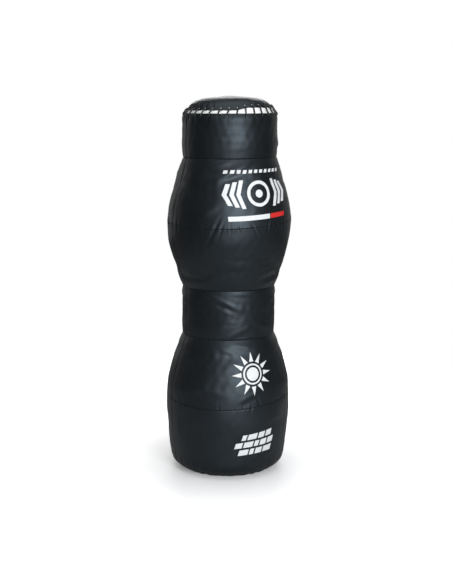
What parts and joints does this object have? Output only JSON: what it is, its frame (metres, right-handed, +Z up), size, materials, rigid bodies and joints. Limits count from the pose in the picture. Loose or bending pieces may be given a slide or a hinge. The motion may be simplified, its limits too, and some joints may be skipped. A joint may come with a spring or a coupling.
{
  "type": "grappling dummy",
  "caption": "Free-standing stuffed grappling dummy: head, chest, narrow waist, hips and rounded foot, sewn in black leather rings, laced crown, waist that bends",
  "frame": {"origin": "Middle of the flat base, on the floor the dummy stands on", "axes": "+Z up along the dummy, from the base to the crown; the front with the prints faces -Y; the side seams are at -X and +X"},
  "size_m": [0.4, 0.4, 1.2],
  "materials": {
    "cover_leather": "semi-gloss",
    "underlap_white": "satin",
    "lace_black": "matte",
    "foam": "matte",
    "liner_canvas": "matte",
    "filling_textile": "matte",
    "print_white": "satin",
    "print_red": "satin"
  },
  "bodies": {
    "legs": {"base_panel": "cover_leather", "base_foam": "foam", "leg_front": "cover_leather", "leg_back": "cover_leather", "leg_foam": "foam", "hip_front": "cover_leather", "hip_back": "cover_leather", "hip_foam": "foam", "legs_liner": "liner_canvas", "legs_filling": "filling_textile", "hip_print": "print_white", "leg_print": "print_white"},
    "waist": {"waist_front": "cover_leather", "waist_back": "cover_leather", "waist_foam": "foam", "waist_liner": "liner_canvas", "waist_filling": "filling_textile"},
    "torso": {"belly_front": "cover_leather", "belly_back": "cover_leather", "belly_foam": "foam", "chest_front": "cover_leather", "chest_back": "cover_leather", "chest_foam": "foam", "head_front": "cover_leather", "head_back": "cover_leather", "head_foam": "foam", "crown_panel": "cover_leather", "crown_foam": "foam", "lacing_tongue": "underlap_white", "closure_lace": "lace_black", "lace_knot": "lace_black", "torso_liner": "liner_canvas", "torso_filling": "filling_textile", "chest_print": "print_white", "chest_print_accent": "print_red"}
  },
  "joints": [
    {"name": "waist_bend", "type": "hinge", "parent": "legs", "child": "waist", "pos_m": [0, 0, 0.5], "axis": [1, 0, 0], "range_deg": [-12, 12], "stiffness_Nm_per_rad": 400},
    {"name": "waist_lean", "type": "hinge", "parent": "waist", "child": "torso", "pos_m": [0, 0, 0.68], "axis": [0, 1, 0], "range_deg": [-12, 12], "stiffness_Nm_per_rad": 400}
  ]
}
